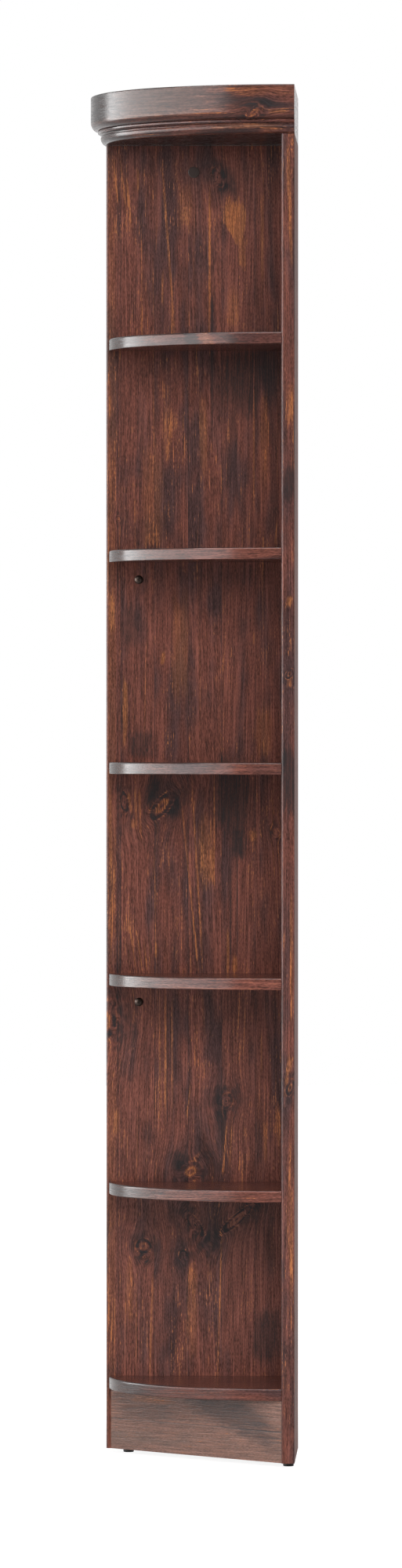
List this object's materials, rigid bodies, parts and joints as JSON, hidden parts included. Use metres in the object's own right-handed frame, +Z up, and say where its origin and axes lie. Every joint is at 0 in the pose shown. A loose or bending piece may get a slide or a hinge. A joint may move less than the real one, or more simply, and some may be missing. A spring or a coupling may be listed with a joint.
{
  "type": "shelf end unit",
  "caption": "Tall open quarter-round shelf unit for the end of a row of cabinets: stained pine panels at a right angle, rounded shelves between them and a moulded cornice.",
  "frame": {"origin": "on the floor, at the middle of the square plan that the cornice fills", "axes": "+Z up; the wide panel's open face looks along -Y; the side panel's inner face looks along -X, so the open quarter-round side faces -X and -Y"},
  "size_m": [0.324, 0.324, 2.1186],
  "materials": {
    "stained_pine": "dark red-brown stain on glued-up knotty pine, rubbed through on the earlywood, satin clear coat",
    "stained_pine_across": "the same stained pine with the grain running level, satin clear coat",
    "browned_steel": "dark browned steel, satin",
    "raw_beech": "bare turned beech",
    "zinc_steel": "zinc-plated die casting and steel",
    "brown_plastic": "dark brown moulded plastic",
    "black_plastic": "black moulded plastic"
  },
  "bodies": {
    "root": {"wide_panel": "stained_pine", "side_panel": "stained_pine", "bottom_shelf": "stained_pine", "shelf_1": "stained_pine", "shelf_2": "stained_pine", "shelf_3": "stained_pine", "shelf_4": "stained_pine", "shelf_5": "stained_pine", "plinth_board": "stained_pine_across", "top_board": "stained_pine_across", "cornice_board": "stained_pine_across", "bottom_shelf_side_screw_inner": "browned_steel", "bottom_shelf_side_screw_outer": "browned_steel", "bottom_shelf_wide_screw_inner": "browned_steel", "bottom_shelf_wide_screw_outer": "browned_steel", "shelf_1_side_screw_inner": "browned_steel", "shelf_1_side_screw_outer": "browned_steel", "shelf_1_wide_screw_inner": "browned_steel", "shelf_1_wide_screw_outer": "browned_steel", "shelf_2_side_screw_inner": "browned_steel", "shelf_2_side_screw_outer": "browned_steel", "shelf_2_wide_screw_inner": "browned_steel", "shelf_2_wide_screw_outer": "browned_steel", "shelf_3_side_screw_inner": "browned_steel", "shelf_3_side_screw_outer": "browned_steel", "shelf_3_wide_screw_inner": "browned_steel", "shelf_3_wide_screw_outer": "browned_steel", "shelf_4_side_screw_inner": "browned_steel", "shelf_4_side_screw_outer": "browned_steel", "shelf_4_wide_screw_inner": "browned_steel", "shelf_4_wide_screw_outer": "browned_steel", "shelf_5_side_screw_inner": "browned_steel", "shelf_5_side_screw_outer": "browned_steel", "shelf_5_wide_screw_inner": "browned_steel", "shelf_5_wide_screw_outer": "browned_steel", "cornice_screw_left": "browned_steel", "cornice_screw_middle": "browned_steel", "cornice_screw_right": "browned_steel", "connector_bolt_lower": "browned_steel", "connector_bolt_upper": "browned_steel", "corner_dowel_1": "raw_beech", "corner_dowel_2": "raw_beech", "corner_dowel_3": "raw_beech", "side_top_dowel": "raw_beech", "wide_top_dowel": "raw_beech", "plinth_dowel_left": "raw_beech", "plinth_dowel_right": "raw_beech", "side_cam": "zinc_steel", "side_cam_bolt": "zinc_steel", "wide_cam": "zinc_steel", "wide_cam_bolt": "zinc_steel", "side_cam_cap": "brown_plastic", "wide_cam_cap": "brown_plastic", "side_glide_outer": "black_plastic", "side_glide_inner": "black_plastic", "wide_glide_outer": "black_plastic", "wide_glide_inner": "black_plastic"}
  },
  "joints": []
}
